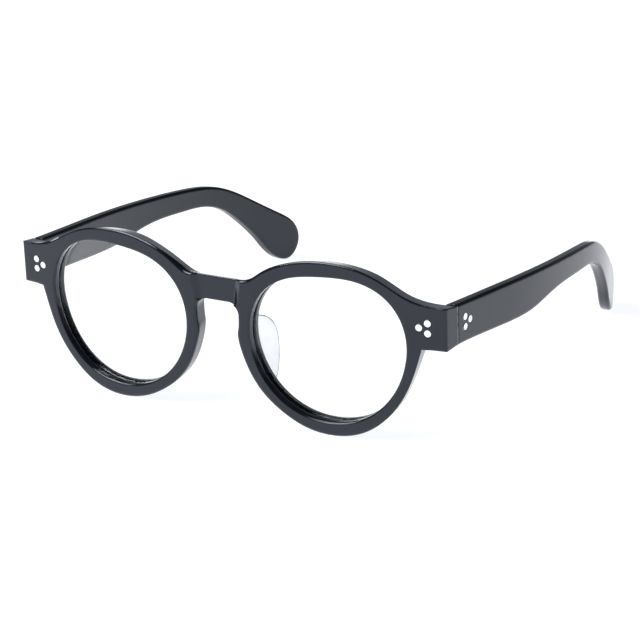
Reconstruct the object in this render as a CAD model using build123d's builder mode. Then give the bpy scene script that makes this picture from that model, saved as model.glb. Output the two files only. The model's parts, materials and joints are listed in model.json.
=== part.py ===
from build123d import *
import os
from math import cos, degrees, pi, radians, sin

# Thick acetate eyeglasses with round lenses, a keyhole bridge and riveted five-barrel hinges.
# +Z is up, the wearer faces -Y, and the wearer's left side is +X. The pair stands on the table, Z = 0,
# on the lowest point of both rims and on both temple tips. All sizes are in millimetres.

# ---------------------------------------------------------------- driving dimensions
lens_spacing = 69.5          # distance between the two lens centres
lens_centre_height = 25.98   # above the table, at the front of the bridge
front_to_origin = 68.97      # front of the bridge to the middle of the whole length
stand_lean = 0.60            # degrees the front leans forward when the pair stands on a table

face_radius = 500.0          # the front is bent round a vertical cylinder of this radius
front_thickness = 6.1        # acetate sheet of the front
front_round = 0.8            # rounding of the outer edges of the front's face
back_round = 0.45            # and of its back
opening_round = 0.45         # rounding of the lens openings' edges
end_corner_round = 3.2       # where the end piece meets the rim's outer wall
keyhole_radius = 3.45        # upper corners of the keyhole bridge
taper_start = 1.2            # the outer walls of the front are square to this depth
taper = 0.27                 # and then draw in this much for each millimetre
bridge_recess = 1.1          # how far the middle of the bridge lies behind the rims' face
joint_gap = 0.15             # between the closed faces of the front and a temple
joint_x = 70.0               # edges outside this are part of the joint face and stay sharp

arm_thickness = 3.6          # acetate sheet of a temple
arm_round = 0.9              # rounding of a temple's long edges
arm_flare = 3.5              # degrees a temple starts outwards
arm_start_x = 70.15          # outer face of a temple at the depth of the bridge's front
arm_straight = 40.0          # straight run before the first bend
arm_bend_radius = 300.0
arm_bend = 9.6               # degrees inwards
ear_bend_radius = 168.0
ear_bend = 11.9              # degrees inwards
arm_tail = 19.0              # straight run at the tip

lens_thickness = 1.7
groove_depth = 0.75          # how far the lens groove is cut into the rim
lens_clearance = 0.05        # round the lens in its groove
bevel = 0.45                 # chamfer along the lens edge and the groove

pad_front = 4.0              # depth at which a nose pad's section is drawn
pad_thickness = 2.4
pad_flare = 0.75             # how far a pad leans outwards for each millimetre it stands back
pad_reach = 14.0             # blank length along the lean, trimmed to the pad's curved back

hinge_x = 65.4               # hinge axis, from the middle of the front
hinge_depth = 13.2           # hinge axis, behind the front of the bridge
hinge_height = 8.9           # middle of the hinge above the lens centre line
hinge_tall = 6.6             # height of the stack of knuckles
knuckle_count = 5
knuckle_gap = 0.08           # between one knuckle and the next
knuckle_radius = 1.45
bore_radius = 0.70
screw_radius = 0.65
screw_head_radius = 1.15
screw_head_height = 0.6
slot_width = 0.35
slot_turn = 35.0             # degrees
leaf_thickness = 1.0
leaf_tall = 8.2
leaf_corner = 0.3
front_leaf_inner_x = 61.3    # the front leaf reaches from here
front_leaf_outer_x = 66.75   # to here
front_leaf_depth = 9.0       # front face of that leaf, behind the front of the bridge
front_lug_inner_x = 64.0
front_lug_outer_x = 66.6
arm_leaf_front = 12.1        # the temple leaf reaches from this depth
arm_leaf_back = 19.0         # to this one
arm_lug_front = 12.2
arm_lug_outer_x = 67.9
pocket_clearance = 0.05      # round a hinge leaf in its pocket
pocket_floor_gap = 0.02      # between a hinge leaf and the floor of its pocket

rivet_spacing = 2.9          # the three rivets of a leaf form an even triangle of this side
rivet_head_radius = 0.98
rivet_head_floor = 5.2       # inner end of the rivet heads in the front, behind the front of the bridge
rivet_shank_radius = 0.6
rivet_proud = 0.08           # how far a rivet stands out of the acetate
rivet_clearance = 0.02
front_rivet_x = 65.15        # upper and lower rivet of the front leaf
front_rivet_height = 9.55
arm_rivet_depth = 14.9       # upper and lower rivet of the temple leaf
arm_rivet_height = 9.05
arm_head_x = 70.0            # inner end of the rivet heads in a temple

core_width = 2.4             # flat wire inside each temple
core_thickness = 1.1
core_clearance = 0.05

past = 20.0                  # blanks and cutting tools reach this far past what they shape
deep = 90.0                  # reach of a tool that crosses a whole side of the pair
inside_arm_x = 60.0          # a plane between the head and the temples

# ---------------------------------------------------------------- planes of the leaning front
lean = radians(stand_lean)
back_direction = Vector(0, cos(lean), sin(lean))
up_direction = Vector(0, -sin(lean), cos(lean))
datum = Vector(0, -front_to_origin, lens_centre_height)                    # front of the bridge
face_plane = Plane(origin=datum, x_dir=(1, 0, 0), z_dir=-back_direction)   # x right, y up
plan_plane = Plane(origin=datum, x_dir=(1, 0, 0), z_dir=up_direction)      # x right, y back
side_plane = Plane(origin=datum, x_dir=back_direction, z_dir=(1, 0, 0))    # x back, y up

lens_start = (front_thickness - lens_thickness) / 2
groove_start = lens_start - lens_clearance
groove_width = lens_thickness + 2 * lens_clearance

os.makedirs("parts", exist_ok=True)


def at_depth(depth):
    """Front-view plane this far behind the front of the bridge."""
    return face_plane.offset(-depth)


def bent_sheet(depth, thickness, half_width=deep):
    """Plan outline of a sheet bent round the face cylinder, its front this far behind the bridge."""
    front_radius = face_radius - depth
    back_radius = front_radius - thickness
    reach = degrees(half_width / face_radius)
    with BuildSketch() as outline:
        with BuildLine():
            front_arc = CenterArc((0, face_radius), front_radius, -90 - reach, 2 * reach)
            back_arc = CenterArc((0, face_radius), back_radius, -90 - reach, 2 * reach)
            Line(front_arc @ 0, back_arc @ 0)
            Line(front_arc @ 1, back_arc @ 1)
        make_face()
    return outline.sketch


def lens_outline(grow):
    """Round lens shape, a little wider than tall, fuller at the top corners, grown by this much."""
    steps = 24
    points = []
    for step in range(steps):
        angle = 2 * pi * step / steps
        radius = 22.9 + grow + 1.35 * cos(2 * angle) + 0.35 * sin(2 * angle)
        radius += 0.75 * sin(3 * angle) - 0.2 * cos(3 * angle) - 0.27 * cos(4 * angle)
        points.append((lens_spacing / 2 + radius * cos(angle), radius * sin(angle)))
    with BuildSketch() as outline:
        with BuildLine():
            Spline(*points, periodic=True)
        make_face()
    return outline.sketch


def half_outline(inset):
    """Outline of the +X half of the front, its outer walls drawn in towards the lens by the inset."""
    centre = Vector(lens_spacing / 2, 0)

    def drawn_in(x, y, share=1.0):
        """A point of the outline moved towards the lens centre by a share of the inset."""
        point = Vector(x, y)
        return point + (centre - point).normalized() * inset * share

    with BuildSketch() as outline:
        with BuildLine():
            bridge_top = Line((0, 16.1 - 1.3 * inset), (7.6, 16.1 - 1.3 * inset))
            brow = Spline(
                bridge_top @ 1, drawn_in(14, 18.9, 1.5), drawn_in(20, 22.2, 1.4), drawn_in(27, 24.3, 1.1),
                drawn_in(35, 25.1), drawn_in(43, 24.5), drawn_in(50, 22.5), drawn_in(55.5, 19.8, 1.1),
                drawn_in(60, 17.4, 1.1), (64.5, 16.5 - 0.7 * inset), (74, 16.3 - 0.6 * inset),
                tangents=[(1, 0), (1, 0)])
            end_side = Line(brow @ 1, (74, 3.1 + 0.2 * inset))
            end_bottom = Line(end_side @ 1, (63.7 - 0.6 * inset, 3.1 + 0.2 * inset))
            rim_bottom = Spline(
                end_bottom @ 1, drawn_in(60.0, -8.2, 0.8), drawn_in(53.4, -17.8, 0.3),
                drawn_in(45.0, -24.0, 0.2), drawn_in(35, -26.0, 0.3), drawn_in(26.5, -24.5, 0.3),
                drawn_in(19, -20.6, 0.3), drawn_in(10.1, -11.0, 0.5), drawn_in(6.5, 0.2, 0.8),
                (7.0 + 0.6 * inset, 5.5),
                tangents=[(-0.3, -1), (0, 1)])
            keyhole = JernArc(rim_bottom @ 1, (0, 1), keyhole_radius + 0.3 * inset, 90)
            bridge_bottom = Line(keyhole @ 1, (0, (keyhole @ 1).Y))
            Line(bridge_bottom @ 1, bridge_top @ 0)
        make_face()
        end_corner = vertices().filter_by_position(Axis.X, 62, 64)
        fillet(end_corner, end_corner_round)
    return outline.sketch


def arm_line(inset):
    """Plan line parallel to the outer face of the +X temple, this far inside it."""
    flare = radians(arm_flare)
    start = Vector(arm_start_x - inset * cos(flare), inset * sin(flare))
    straight = Line(start, start + Vector(sin(flare), cos(flare)) * arm_straight)
    first_bend = JernArc(straight @ 1, straight % 1, arm_bend_radius - inset, arm_bend)
    second_bend = JernArc(first_bend @ 1, first_bend % 1, ear_bend_radius - inset, ear_bend)
    tail = Line(second_bend @ 1, second_bend @ 1 + (second_bend % 1) * arm_tail)
    return straight @ 0, tail @ 1


def arm_strip(first_inset, second_inset):
    """Plan outline of the part of a temple between two insets from its outer face."""
    with BuildSketch() as outline:
        with BuildLine():
            first_start, first_end = arm_line(first_inset)
            second_start, second_end = arm_line(second_inset)
            Line(first_start, second_start)
            Line(first_end, second_end)
        make_face()
    return outline.sketch


def core_outline(grow):
    """Side outline of the flat core wire of a temple, grown by this much all round."""
    front_end = 20.5 - grow
    tail_end = 128.0 + grow
    with BuildSketch() as outline:
        with BuildLine():
            Spline(
                (front_end, 8.6), (47, 6.7), (71, 6.0), (92, 4.1), (104, 0.8), (116, -8.2),
                (tail_end, -19.0))
        trace(line_width=core_width + 2 * grow)
    return outline.sketch


def arm_leaf_outline(grow):
    """Side outline of the temple leaf, grown by this much all round."""
    long = arm_leaf_back - arm_leaf_front + 2 * grow
    with BuildSketch() as outline:
        with Locations(((arm_leaf_front + arm_leaf_back) / 2, hinge_height)):
            RectangleRounded(long, leaf_tall + 2 * grow, leaf_corner + grow)
    return outline.sketch


def rivet_places(x, y, towards):
    """Centres of three rivets: upper and lower at x, and one beside them on the side given."""
    beside = x + towards * rivet_spacing * cos(radians(30))
    return [(x, y + rivet_spacing / 2), (x, y - rivet_spacing / 2), (beside, y)]


def knuckle_floor(number):
    """Height of the underside of one knuckle, counted from the bottom of the hinge."""
    pitch = hinge_tall / knuckle_count
    return hinge_height - hinge_tall / 2 + number * pitch + knuckle_gap / 2


front_rivets = rivet_places(front_rivet_x, front_rivet_height, -1)
arm_rivets = rivet_places(arm_rivet_depth, arm_rivet_height, 1)
front_rivet_names = ["upper", "lower", "inner"]
arm_rivet_names = ["upper", "lower", "rear"]
knuckle_tall = hinge_tall / knuckle_count - knuckle_gap
front_leaf_back = front_leaf_depth + pocket_floor_gap + leaf_thickness
lug_front = front_leaf_back - leaf_thickness / 2
front_knuckles = [0, 2, 4]
arm_knuckles = [1, 3]
core_inset = arm_thickness / 2

# ---------------------------------------------------------------- shaping solids
# Bent sheets and trims that several pieces are cut to.
sheet_floor = plan_plane.offset(-deep / 2)

with BuildPart() as rim_sheet:
    with BuildSketch(sheet_floor):
        add(bent_sheet(0, front_thickness))
    extrude(amount=deep)

with BuildPart() as rivet_sheet:
    with BuildSketch(sheet_floor):
        add(bent_sheet(-rivet_proud, front_thickness + past))
    extrude(amount=deep)

with BuildPart() as groove_sheet:
    with BuildSketch(sheet_floor):
        add(bent_sheet(groove_start, groove_width))
    extrude(amount=deep)

with BuildPart() as lens_sheet:
    with BuildSketch(sheet_floor):
        add(bent_sheet(lens_start, lens_thickness))
    extrude(amount=deep)

with BuildPart() as joint_zone:
    with BuildSketch(sheet_floor):
        add(bent_sheet(-past, front_thickness + joint_gap + past))
    extrude(amount=deep)

with BuildPart() as side_trim:
    with BuildSketch(sheet_floor):
        with BuildLine():
            outer_start, outer_end = arm_line(0)
            Polyline(outer_start, (deep, outer_start.Y), (deep, outer_end.Y), outer_end)
        make_face()
    extrude(amount=deep)

with BuildPart() as arm_rivet_strip:
    with BuildSketch(sheet_floor):
        add(arm_strip(-rivet_proud, arm_thickness + rivet_proud))
    extrude(amount=deep)

with BuildPart() as arm_cavity:
    with BuildSketch(sheet_floor):
        half_cavity = core_thickness / 2 + core_clearance
        add(arm_strip(core_inset - half_cavity, core_inset + half_cavity))
    extrude(amount=deep)
    with BuildSketch(side_plane):
        add(core_outline(core_clearance))
    extrude(amount=deep, mode=Mode.INTERSECT)

with BuildPart() as leaf_pocket:
    with BuildSketch(sheet_floor):
        add(arm_strip(arm_thickness - leaf_thickness - pocket_floor_gap, arm_thickness + 1))
    extrude(amount=deep)
    with BuildSketch(side_plane):
        add(arm_leaf_outline(pocket_clearance))
    extrude(amount=deep, mode=Mode.INTERSECT)

with BuildPart() as lens_groove:
    with BuildSketch(at_depth(past)):
        add(lens_outline(groove_depth))
    extrude(amount=2 * past)
    add(groove_sheet.part, mode=Mode.INTERSECT)
    chamfer(edges(), bevel)

with BuildPart() as taper_block:
    for depth in (-front_thickness, 2 * front_thickness):
        with BuildSketch(at_depth(depth)):
            add(half_outline(taper * (depth - taper_start)))
    loft(ruled=True)

# ---------------------------------------------------------------- front frame
# One half is shaped, with its lens opening, groove, hinge pocket and rivet holes, and then mirrored.
with BuildPart() as front_frame:
    with BuildSketch(at_depth(past)):
        add(half_outline(0))
    extrude(amount=2 * past)
    add(rim_sheet.part, mode=Mode.INTERSECT)
    add(side_trim.part, mode=Mode.SUBTRACT)
    front_face = front_frame.faces().filter_by(GeomType.CYLINDER).sort_by(Axis.Y)[0]
    fillet([e for e in front_face.outer_wire().edges() if (e @ 0.5).X > 0.01], front_round)
    add(taper_block.part, mode=Mode.INTERSECT)
    sheet_faces = front_frame.faces().filter_by(GeomType.CYLINDER).sort_by(SortBy.AREA)[-2:]
    back_face = sheet_faces.sort_by(Axis.Y)[-1]
    fillet([e for e in back_face.outer_wire().edges() if 0.01 < (e @ 0.5).X < joint_x], back_round)

    with BuildSketch(at_depth(past)):
        add(lens_outline(0))
    extrude(amount=2 * past, mode=Mode.SUBTRACT)
    sheet_faces = front_frame.faces().filter_by(GeomType.CYLINDER).sort_by(SortBy.AREA)[-2:]
    fillet([e for face in sheet_faces for e in face.inner_wires()[0].edges()], opening_round)
    add(lens_groove.part, mode=Mode.SUBTRACT)

    with BuildSketch(at_depth(bridge_recess)):
        with BuildLine():
            Polyline((0, 8.4), (5.3, 8.4), (6.6, 18), (0, 18), close=True)
        make_face()
    with BuildSketch(at_depth(-0.2)):
        with BuildLine():
            Polyline((0, 8.4), (7.4, 8.4), (9.4, 18), (0, 18), close=True)
        make_face()
    loft(mode=Mode.SUBTRACT)

    with BuildSketch(at_depth(front_leaf_depth)):
        with Locations(((front_leaf_inner_x + front_leaf_outer_x) / 2, hinge_height)):
            RectangleRounded(
                front_leaf_outer_x - front_leaf_inner_x + 2 * pocket_clearance,
                leaf_tall + 2 * pocket_clearance, leaf_corner + pocket_clearance)
    extrude(amount=-past, mode=Mode.SUBTRACT)
    with BuildSketch(at_depth(front_leaf_depth)):
        with Locations(*front_rivets):
            Circle(rivet_shank_radius + rivet_clearance)
    extrude(amount=past, mode=Mode.SUBTRACT)
    with BuildSketch(at_depth(rivet_head_floor + rivet_clearance)):
        with Locations(*front_rivets):
            Circle(rivet_head_radius + rivet_clearance)
    extrude(amount=past, mode=Mode.SUBTRACT)
    mirror(about=Plane.YZ)
front_frame.part.label = "front_frame"
export_step(front_frame.part, "parts/front_frame.step")

# ---------------------------------------------------------------- lens
with BuildPart() as lens:
    with BuildSketch(at_depth(past)):
        add(lens_outline(groove_depth - lens_clearance))
    extrude(amount=2 * past)
    add(lens_sheet.part, mode=Mode.INTERSECT)
    chamfer(edges(), bevel)

# ---------------------------------------------------------------- nose pad
# A clear moulded pad bonded to the back of the rim beside the nose.
with BuildPart() as nose_pad:
    with BuildSketch(at_depth(pad_front)):
        with BuildLine():
            ThreePointArc((8.0, 4.4), (8.9, -5.0), (12.1, -13.8))
        trace(line_width=pad_thickness)
    extrude(dir=back_direction + Vector(pad_flare, 0, 0), amount=pad_reach)
    with BuildSketch(side_plane):
        with BuildLine():
            pad_back = ThreePointArc((5.0, 5.4), (11.6, -4.6), (5.0, -15.0))
            Line(pad_back @ 1, pad_back @ 0)
        make_face()
    extrude(amount=past, mode=Mode.INTERSECT)
    add(rim_sheet.part, mode=Mode.SUBTRACT)

# ---------------------------------------------------------------- temple
with BuildPart() as temple:
    with BuildSketch(sheet_floor):
        add(arm_strip(0, arm_thickness))
    extrude(amount=deep)
    with BuildSketch(side_plane):
        with BuildLine():
            arm_edge = Spline(
                (5, 15.5), (25, 13.8), (47, 12.0), (71, 9.7), (92, 7.3), (103.5, 5.0), (112.3, 1.0),
                (121, -4.5), (130, -10.4), (136.6, -16.2), (137.5, -22.7), (133, -27.3), (127.5, -25.2),
                (121.5, -18.1), (114, -9.9), (106.3, -3.7), (98, -0.4), (87, 0.9), (75, 1.7), (63, 1.3),
                (54, 0.4), (43, 0.6), (24, 2.3), (5, 3.2))
            Line(arm_edge @ 1, arm_edge @ 0)
        make_face()
    extrude(amount=deep, mode=Mode.INTERSECT)
    add(joint_zone.part, mode=Mode.SUBTRACT)
    rim_face = temple.faces().filter_by(GeomType.EXTRUSION).sort_by(SortBy.AREA)[-1]
    fillet([e for e in rim_face.outer_wire().edges() if e.length > arm_thickness + 0.5], arm_round)
    add(arm_cavity.part, mode=Mode.SUBTRACT)
    add(leaf_pocket.part, mode=Mode.SUBTRACT)
    with BuildSketch(side_plane.offset(inside_arm_x)):
        with Locations(*arm_rivets):
            Circle(rivet_shank_radius + rivet_clearance)
    extrude(amount=past, mode=Mode.SUBTRACT)
    with BuildSketch(side_plane.offset(arm_head_x - rivet_clearance)):
        with Locations(*arm_rivets):
            Circle(rivet_head_radius + rivet_clearance)
    extrude(amount=past, mode=Mode.SUBTRACT)

with BuildPart() as core_wire:
    with BuildSketch(sheet_floor):
        add(arm_strip(core_inset - core_thickness / 2, core_inset + core_thickness / 2))
    extrude(amount=deep)
    with BuildSketch(side_plane):
        add(core_outline(0))
    extrude(amount=deep, mode=Mode.INTERSECT)

# ---------------------------------------------------------------- hinge
# The front leaf carries three knuckles and the temple leaf two between them, on one vertical screw.
with BuildPart() as front_leaf:
    with BuildSketch(at_depth(front_leaf_back)):
        with Locations(((front_leaf_inner_x + front_leaf_outer_x) / 2, hinge_height)):
            RectangleRounded(front_leaf_outer_x - front_leaf_inner_x, leaf_tall, leaf_corner)
    extrude(amount=leaf_thickness)
    for knuckle in front_knuckles:
        with BuildSketch(plan_plane.offset(knuckle_floor(knuckle))):
            with Locations((hinge_x, hinge_depth)):
                Circle(knuckle_radius)
            with BuildLine():
                Polyline(
                    (front_lug_inner_x, lug_front), (front_lug_outer_x, lug_front),
                    (front_lug_outer_x, hinge_depth), (front_lug_inner_x, hinge_depth), close=True)
            make_face()
        extrude(amount=knuckle_tall)
    with BuildSketch(plan_plane.offset(hinge_height - hinge_tall)):
        with Locations((hinge_x, hinge_depth)):
            Circle(bore_radius)
    extrude(amount=2 * hinge_tall, mode=Mode.SUBTRACT)
    with BuildSketch(at_depth(front_leaf_back + leaf_thickness)):
        with Locations(*front_rivets):
            Circle(rivet_shank_radius + rivet_clearance)
    extrude(amount=3 * leaf_thickness, mode=Mode.SUBTRACT)

with BuildPart() as temple_leaf:
    with BuildSketch(sheet_floor):
        add(arm_strip(arm_thickness - leaf_thickness, arm_thickness))
    extrude(amount=deep)
    with BuildSketch(side_plane):
        add(arm_leaf_outline(0))
    extrude(amount=deep, mode=Mode.INTERSECT)
    for knuckle in arm_knuckles:
        with BuildSketch(plan_plane.offset(knuckle_floor(knuckle))):
            with Locations((hinge_x, hinge_depth)):
                Circle(knuckle_radius)
            with BuildLine():
                Polyline(
                    (hinge_x, arm_lug_front), (arm_lug_outer_x, arm_lug_front),
                    (arm_lug_outer_x, hinge_depth + knuckle_radius), (hinge_x, hinge_depth + knuckle_radius),
                    close=True)
            make_face()
        extrude(amount=knuckle_tall)
    with BuildSketch(plan_plane.offset(hinge_height - hinge_tall)):
        with Locations((hinge_x, hinge_depth)):
            Circle(bore_radius)
    extrude(amount=2 * hinge_tall, mode=Mode.SUBTRACT)
    with BuildSketch(side_plane.offset(hinge_x + knuckle_radius)):
        with Locations(*arm_rivets):
            Circle(rivet_shank_radius + rivet_clearance)
    extrude(amount=past, mode=Mode.SUBTRACT)

with BuildPart() as hinge_screw:
    with BuildSketch(plan_plane.offset(hinge_height - hinge_tall / 2)):
        with Locations((hinge_x, hinge_depth)):
            Circle(screw_radius)
    extrude(amount=hinge_tall + screw_head_height / 2)
    with BuildSketch(plan_plane.offset(hinge_height + hinge_tall / 2)):
        with Locations((hinge_x, hinge_depth)):
            Circle(screw_head_radius)
    extrude(amount=screw_head_height)
    with BuildSketch(plan_plane.offset(hinge_height + hinge_tall / 2 + screw_head_height / 2)):
        with Locations((hinge_x, hinge_depth)):
            Rectangle(slot_width, 3 * screw_head_radius, rotation=slot_turn)
    extrude(amount=screw_head_height, mode=Mode.SUBTRACT)

left_pieces = {
    "lens": lens,
    "nose_pad": nose_pad,
    "temple": temple,
    "core_wire": core_wire,
    "front_hinge_leaf": front_leaf,
    "temple_hinge_leaf": temple_leaf,
    "hinge_screw": hinge_screw,
}

# ---------------------------------------------------------------- rivets
for rivet_name, place in zip(front_rivet_names, front_rivets):
    with BuildPart() as front_rivet:
        with BuildSketch(at_depth(rivet_head_floor)):
            with Locations(place):
                Circle(rivet_head_radius)
        extrude(amount=past)
        with BuildSketch(at_depth(front_leaf_back + rivet_proud)):
            with Locations(place):
                Circle(rivet_shank_radius)
        extrude(amount=past)
        add(rivet_sheet.part, mode=Mode.INTERSECT)
    left_pieces["front_rivet_" + rivet_name] = front_rivet

for rivet_name, place in zip(arm_rivet_names, arm_rivets):
    with BuildPart() as temple_rivet:
        with BuildSketch(side_plane.offset(arm_head_x)):
            with Locations(place):
                Circle(rivet_head_radius)
        extrude(amount=past)
        with BuildSketch(side_plane.offset(inside_arm_x)):
            with Locations(place):
                Circle(rivet_shank_radius)
        extrude(amount=arm_head_x - inside_arm_x + rivet_proud)
        add(arm_rivet_strip.part, mode=Mode.INTERSECT)
    left_pieces["temple_rivet_" + rivet_name] = temple_rivet

# ---------------------------------------------------------------- both sides
for piece_name, piece in left_pieces.items():
    with BuildPart() as right_piece:
        mirror(piece.part, about=Plane.YZ)
    piece.part.label = "left_" + piece_name
    export_step(piece.part, "parts/left_" + piece_name + ".step")
    right_piece.part.label = "right_" + piece_name
    export_step(right_piece.part, "parts/right_" + piece_name + ".step")
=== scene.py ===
import json
from math import cos, pi, radians, sin

import bmesh
import bpy
from mathutils import Matrix, Vector


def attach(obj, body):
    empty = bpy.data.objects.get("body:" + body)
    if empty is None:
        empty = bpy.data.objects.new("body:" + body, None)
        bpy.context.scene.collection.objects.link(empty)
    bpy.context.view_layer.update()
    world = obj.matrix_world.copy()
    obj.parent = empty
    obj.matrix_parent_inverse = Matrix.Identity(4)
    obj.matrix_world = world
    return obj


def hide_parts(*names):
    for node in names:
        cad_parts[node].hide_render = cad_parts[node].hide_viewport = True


# Looks of a pair of thick black acetate eyeglasses with clear lenses, clear nose pads and silver rivets.
# Everything is in metres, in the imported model's frame: +Z up, the wearer faces -Y.

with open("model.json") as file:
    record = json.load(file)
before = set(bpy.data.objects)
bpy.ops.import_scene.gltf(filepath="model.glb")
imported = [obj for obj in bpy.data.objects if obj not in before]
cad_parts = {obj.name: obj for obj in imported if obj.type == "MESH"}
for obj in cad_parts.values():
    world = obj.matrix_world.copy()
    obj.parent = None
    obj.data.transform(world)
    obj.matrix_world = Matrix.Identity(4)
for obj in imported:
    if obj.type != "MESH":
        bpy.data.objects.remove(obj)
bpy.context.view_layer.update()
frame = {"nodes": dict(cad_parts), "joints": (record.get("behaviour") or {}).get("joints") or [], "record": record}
nodes = frame["nodes"]
scene = bpy.context.scene
MM = 0.001

# ---------------------------------------------------------------- the leaning front
# Measures of the front are taken from the front of the bridge, at the height of the lens centres.
UP = Vector(frame["joints"][0]["axis"])                 # the hinge axis, along the front's own height
BACK = Vector((0, UP.z, -UP.y))
BRIDGE_FRONT = Vector((0, -68.97, 25.98)) * MM


def place(across, depth, height):
    """A point given in millimetres across, behind and above the front of the bridge."""
    return BRIDGE_FRONT + (Vector((across, 0, 0)) + BACK * depth + UP * height) * MM


# ---------------------------------------------------------------- node helpers
class Shader:
    """A material with a Principled shader, and short calls to add procedural nodes to it."""

    def __init__(self, name):
        self.material = bpy.data.materials.new(name)
        self.material.use_nodes = True
        self.tree = self.material.node_tree
        self.surface = self.tree.nodes["Principled BSDF"]
        self.where = self.tree.nodes.new("ShaderNodeTexCoord").outputs["Object"]   # metres

    def set(self, **values):
        """Constant values on the shader's own sockets, with _ for a space in a socket's name."""
        for name, value in values.items():
            self.surface.inputs[name.replace("_", " ")].default_value = value
        return self

    def node(self, kind, **values):
        """A new node; a value goes to the input of that name, or else to the node's setting."""
        made = self.tree.nodes.new(kind)
        for name, value in values.items():
            if name in made.inputs:
                made.inputs[name].default_value = value
            else:
                setattr(made, name, value)
        return made

    def stretched(self, scale):
        """Object coordinates stretched by a factor for each axis."""
        mapping = self.node("ShaderNodeMapping")
        mapping.inputs["Scale"].default_value = scale
        self.tree.links.new(self.where, mapping.inputs["Vector"])
        return mapping.outputs["Vector"]

    def noise(self, scale, detail=3.0, vector=None):
        """Noise of about this many features per metre."""
        made = self.node("ShaderNodeTexNoise", Scale=scale, Detail=detail)
        self.tree.links.new(vector or self.where, made.inputs["Vector"])
        return made.outputs["Fac"]

    def ramp(self, source, stops):
        """Colours along a value, as (position, colour) pairs."""
        made = self.node("ShaderNodeValToRGB")
        points = made.color_ramp.elements
        while len(points) < len(stops):
            points.new(0.5)
        for point, (position, colour) in zip(points, stops):
            point.position = position
            point.color = (*colour, 1)
        self.tree.links.new(source, made.inputs["Fac"])
        return made.outputs["Color"]

    def spread(self, source, low, high, start=0.3, end=0.7):
        """A value mapped from start..end to low..high."""
        made = self.node("ShaderNodeMapRange")
        for name, value in (("From Min", start), ("From Max", end), ("To Min", low), ("To Max", high)):
            made.inputs[name].default_value = value
        self.tree.links.new(source, made.inputs["Value"])
        return made.outputs["Result"]

    def add_up(self, first, second):
        """The sum of two values."""
        made = self.node("ShaderNodeMath", operation="ADD")
        self.tree.links.new(first, made.inputs[0])
        self.tree.links.new(second, made.inputs[1])
        return made.outputs["Value"]

    def bump(self, height, strength, distance, edge_radius=None):
        """Relief, and where an edge radius is given, highlights as on edges buffed to that radius."""
        made = self.node("ShaderNodeBump", Strength=strength, Distance=distance)
        self.tree.links.new(height, made.inputs["Height"])
        if edge_radius:
            buffed = self.node("ShaderNodeBevel", Radius=edge_radius, samples=8)
            self.tree.links.new(buffed.outputs["Normal"], made.inputs["Normal"])
        self.tree.links.new(made.outputs["Normal"], self.surface.inputs["Normal"])
        return self

    def link(self, source, socket):
        """Feeds a source into one of the shader's own sockets."""
        self.tree.links.new(source, self.surface.inputs[socket])
        return self


# ---------------------------------------------------------------- materials
def acetate():
    """Polished black cellulose acetate: a faint cloud of blue-black, a deep gloss and buffing marks."""
    made = Shader("black_acetate").set(
        IOR=1.49, Specular_Tint=(0.84, 0.91, 1.0, 1), Coat_Weight=0.06, Coat_Roughness=0.03, Coat_IOR=1.45)
    cloud = made.noise(55, 4)
    made.link(made.ramp(cloud, [(0.3, (0.004, 0.005, 0.008)), (0.7, (0.007, 0.0085, 0.013))]), "Base Color")
    patches = made.spread(made.noise(140, 2), 0.06, 0.12)
    hairlines = made.spread(made.noise(900, 2, made.stretched((1, 0.12, 1))), 0.0, 0.05, 0.55, 0.75)
    made.link(made.add_up(patches, hairlines), "Roughness")
    made.bump(made.noise(260, 2), 0.04, 0.0002, edge_radius=0.9 * MM)
    return made.material


def clear_lens():
    """Clear plastic demo lens with faint smears."""
    made = Shader("clear_lens").set(Base_Color=(0.99, 0.995, 1.0, 1), IOR=1.49, Transmission_Weight=1.0)
    smears = made.noise(90, 3, made.stretched((1, 1, 0.35)))
    made.link(made.spread(smears, 0.0, 0.015, 0.5, 0.8), "Roughness")
    return made.material


def clear_pad():
    """Clear moulded acetate of the nose pads, a little milky."""
    made = Shader("clear_pad").set(IOR=1.49, Transmission_Weight=0.94)
    milk = made.noise(300, 3)
    made.link(made.ramp(milk, [(0.3, (0.84, 0.845, 0.86)), (0.7, (0.90, 0.905, 0.92))]), "Base Color")
    made.link(made.spread(made.noise(500, 2), 0.05, 0.14), "Roughness")
    made.bump(made.noise(420, 2), 0.05, 0.0002)
    return made.material


def metal(name, dark, light, smooth, rough, grain):
    """Plated metal with a fine directional grain."""
    made = Shader(name).set(Metallic=1.0)
    streaks = made.noise(700, 4, made.stretched(grain))
    made.link(made.ramp(streaks, [(0.3, dark), (0.7, light)]), "Base Color")
    made.link(made.spread(made.noise(1500, 3, made.stretched(grain)), smooth, rough), "Roughness")
    made.bump(streaks, 0.08, 0.0001)
    return made.material


materials = {
    "acetate": acetate(),
    "lens": clear_lens(),
    "clear_pad": clear_pad(),
    "steel": metal("hinge_steel", (0.50, 0.50, 0.51), (0.66, 0.66, 0.67), 0.22, 0.38, (1, 1, 0.08)),
    "rivet": metal("rivet_silver", (0.80, 0.81, 0.83), (0.93, 0.94, 0.95), 0.16, 0.30, (1, 1, 1)),
}


def finish_cad_nodes():
    """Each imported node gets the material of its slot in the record."""
    slots = {piece["node"]: piece["material_slot"] for piece in frame["record"]["subparts"]}
    for name, node in nodes.items():
        node.data.materials.clear()
        node.data.materials.append(materials[slots[name]])


finish_cad_nodes()


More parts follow.
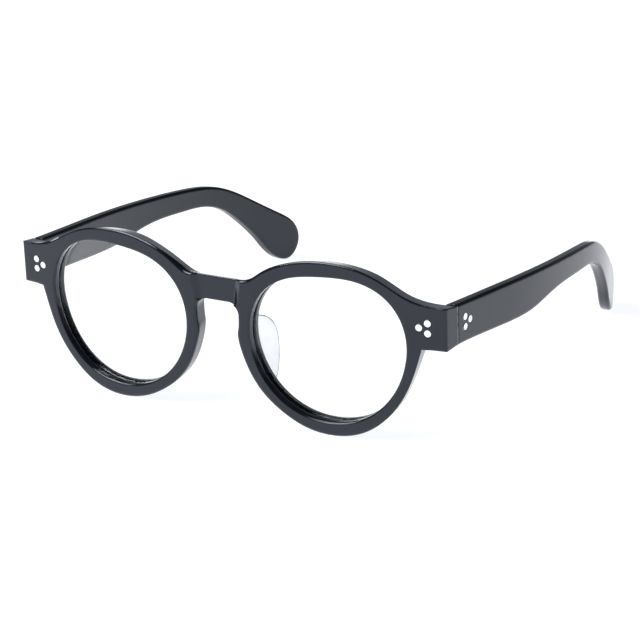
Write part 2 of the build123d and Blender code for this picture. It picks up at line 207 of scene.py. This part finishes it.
# ---------------------------------------------------------------- nose pads
PAD_ROWS = 36                 # cross-sections from the top of a pad to its foot
PAD_AROUND = 24               # points round each cross-section
PAD_TOP = 4.6                 # height of the pad's ends, in mm
PAD_FOOT = -14.6
PAD_CURVE = (9.75, -0.76, 4.86)   # distance from the middle: at the top, and its linear and square terms
PAD_BASE_DEPTH = 6.12         # where the pad meets the back of the rim
PAD_REACH = 5.3               # how far it stands back from there
PAD_TOP_SHARE = 1.12          # share of that reach near the top
PAD_FOOT_LOSS = 0.5           # and how much less of it there is at the foot
PAD_FLARE = 0.75              # how far it leans outwards for each millimetre it stands back
PAD_HALF_THICK = 1.1
PAD_CREST_LOSS = 0.3          # how much thinner the crest is than the base
PAD_END_TAPER = 0.9           # power of the taper towards the ends in reach
PAD_THIN_TAPER = 0.5          # and in thickness
PAD_SQUARENESS = 0.35         # 0 gives an oval section, more a squarer one


def nose_pad(side):
    """A moulded pad: a rounded fin along the back of the rim, leaning outwards and fuller at its middle."""
    mesh = bmesh.new()
    rows = []
    for row in range(PAD_ROWS):
        turn = pi * (row + 0.5) / PAD_ROWS
        along = (1 - cos(turn)) / 2
        fullness = sin(turn) ** PAD_END_TAPER
        height = PAD_TOP + (PAD_FOOT - PAD_TOP) * along
        across = PAD_CURVE[0] + PAD_CURVE[1] * along + PAD_CURVE[2] * along ** 2
        reach = PAD_REACH * fullness * (PAD_TOP_SHARE - PAD_FOOT_LOSS * along)
        half_thick = PAD_HALF_THICK * fullness ** PAD_THIN_TAPER
        ring = []
        for step in range(PAD_AROUND):
            angle = 2 * pi * (step + 0.5) / PAD_AROUND
            behind = (1 - cos(angle)) / 2
            edge = sin(angle)
            thick = half_thick * edge * abs(edge) ** -PAD_SQUARENESS * (1 - PAD_CREST_LOSS * behind)
            lean = PAD_FLARE * reach * behind
            ring.append(mesh.verts.new(
                place(side * (across + thick + lean), PAD_BASE_DEPTH + reach * behind, height)))
        rows.append(ring)
    for upper, lower in zip(rows, rows[1:]):
        for step in range(PAD_AROUND):
            after = (step + 1) % PAD_AROUND
            mesh.faces.new((upper[step], upper[after], lower[after], lower[step]))
    for ring in (rows[0], rows[-1]):
        middle = mesh.verts.new(sum((v.co for v in ring), Vector()) / PAD_AROUND)
        for step in range(PAD_AROUND):
            mesh.faces.new((ring[step], ring[(step + 1) % PAD_AROUND], middle))
    bmesh.ops.recalc_face_normals(mesh, faces=mesh.faces)
    for face in mesh.faces:
        face.smooth = True
    word = "left" if side > 0 else "right"
    data = bpy.data.meshes.new(word + "_moulded_pad")
    mesh.to_mesh(data)
    mesh.free()
    data.materials.append(materials["clear_pad"])
    pad = bpy.data.objects.new(word + "_moulded_pad", data)
    scene.collection.objects.link(pad)
    smooth = pad.modifiers.new("rounding", "SUBSURF")
    smooth.levels = smooth.render_levels = 1
    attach(pad, "front")
    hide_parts(word + "_nose_pad")


for side in (1, -1):
    nose_pad(side)


# ---------------------------------------------------------------- floor, light and camera
TABLE_HALF = 4.0              # half the side of the table, in metres
LIT_TABLE = 0.5               # the table's painted glow, which stands in for light on it, is even to this distance from the middle
LIT_TABLE_END = 1.25          # and has faded by this one


def floor():
    """A plain table top, grey in itself and made pale by a painted glow that stands in for light on it, even near
    the middle and dimmer far off, with a barely visible grain.
    """
    made = Shader("painted_glow_table")
    tone = made.noise(6, 3)
    made.link(made.ramp(tone, [(0.3, (0.29, 0.295, 0.30)), (0.7, (0.31, 0.315, 0.32))]), "Base Color")
    made.set(Roughness=0.9, Specular_IOR_Level=0.1, Emission_Strength=1.0)
    distance = made.node("ShaderNodeVectorMath", operation="LENGTH")
    made.tree.links.new(made.where, distance.inputs[0])
    # The emission colour is painted light: a glow, bright and even near the middle and dimmer far off, in place of
    # light falling on the table.
    near, far = (0.92, 0.94, 0.99), (0.45, 0.46, 0.48)
    fade = made.spread(distance.outputs["Value"], 0.0, 1.0, LIT_TABLE, LIT_TABLE_END)
    made.link(made.ramp(fade, [(0.0, near), (1.0, far)]), "Emission Color")
    data = bpy.data.meshes.new("table")
    corners = [(x * TABLE_HALF, y * TABLE_HALF, 0) for x, y in ((-1, -1), (1, -1), (1, 1), (-1, 1))]
    data.from_pydata(corners, [], [(0, 1, 2, 3)])
    data.materials.append(made.material)
    table = bpy.data.objects.new("table", data)
    scene.collection.objects.link(table)


def softbox(name, position, aim, size, power):
    """A large soft area light."""
    data = bpy.data.lights.new(name, "AREA")
    data.shape = "RECTANGLE"
    data.size, data.size_y = size
    data.energy = power
    light = bpy.data.objects.new(name, data)
    light.location = position
    light.rotation_euler = (Vector(aim) - Vector(position)).to_track_quat("-Z", "Y").to_euler()
    scene.collection.objects.link(light)


def surroundings():
    """A dim room, grey near the horizon and darker overhead."""
    world = bpy.data.worlds.new("studio")
    scene.world = world
    world.use_nodes = True
    tree = world.node_tree
    background = tree.nodes["Background"]
    direction = tree.nodes.new("ShaderNodeTexCoord")
    split = tree.nodes.new("ShaderNodeSeparateXYZ")
    ramp = tree.nodes.new("ShaderNodeValToRGB")
    tree.links.new(direction.outputs["Generated"], split.inputs["Vector"])
    tree.links.new(split.outputs["Z"], ramp.inputs["Fac"])
    tree.links.new(ramp.outputs["Color"], background.inputs["Color"])
    low, high = ramp.color_ramp.elements
    low.position, low.color = 0.02, (0.34, 0.36, 0.40, 1)
    high.position, high.color = 0.42, (0.035, 0.037, 0.042, 1)
    background.inputs["Strength"].default_value = 1.0


def camera():
    """The camera, placed round a point between the bridge and the left temple."""
    azimuth, elevation, roll = radians(31.2182), radians(19.9841), radians(-2.0909)
    distance = 719.856                          # millimetres, as is the target
    target = Vector((21.891, 20.0, 0.149))      # across, behind and above the front of the bridge
    behind = Vector((sin(azimuth) * cos(elevation), -cos(azimuth) * cos(elevation), sin(elevation)))
    level = Vector((cos(azimuth), sin(azimuth), 0))
    above = behind.cross(level)
    right = level * cos(roll) + above * sin(roll)
    upward = above * cos(roll) - level * sin(roll)

    def turned(v):
        """A direction of the front's own axes, in the model's frame."""
        return Vector((v.x, 0, 0)) + BACK * v.y + UP * v.z

    data = bpy.data.cameras.new("camera")
    data.lens = 142.74
    data.sensor_width = 36
    data.clip_start, data.clip_end = 0.05, 50
    seen_from = bpy.data.objects.new("camera", data)
    axes = Matrix((turned(right), turned(upward), turned(behind))).transposed()
    seen_from.matrix_world = axes.to_4x4()
    seen_from.location = place(*(target + behind * distance))
    scene.collection.objects.link(seen_from)
    scene.camera = seen_from


floor()
surroundings()
softbox("key", (-0.75, -0.75, 1.25), (0, 0, 0.02), (1.2, 0.9), 36)
camera()

scene.view_settings.view_transform = "Standard"
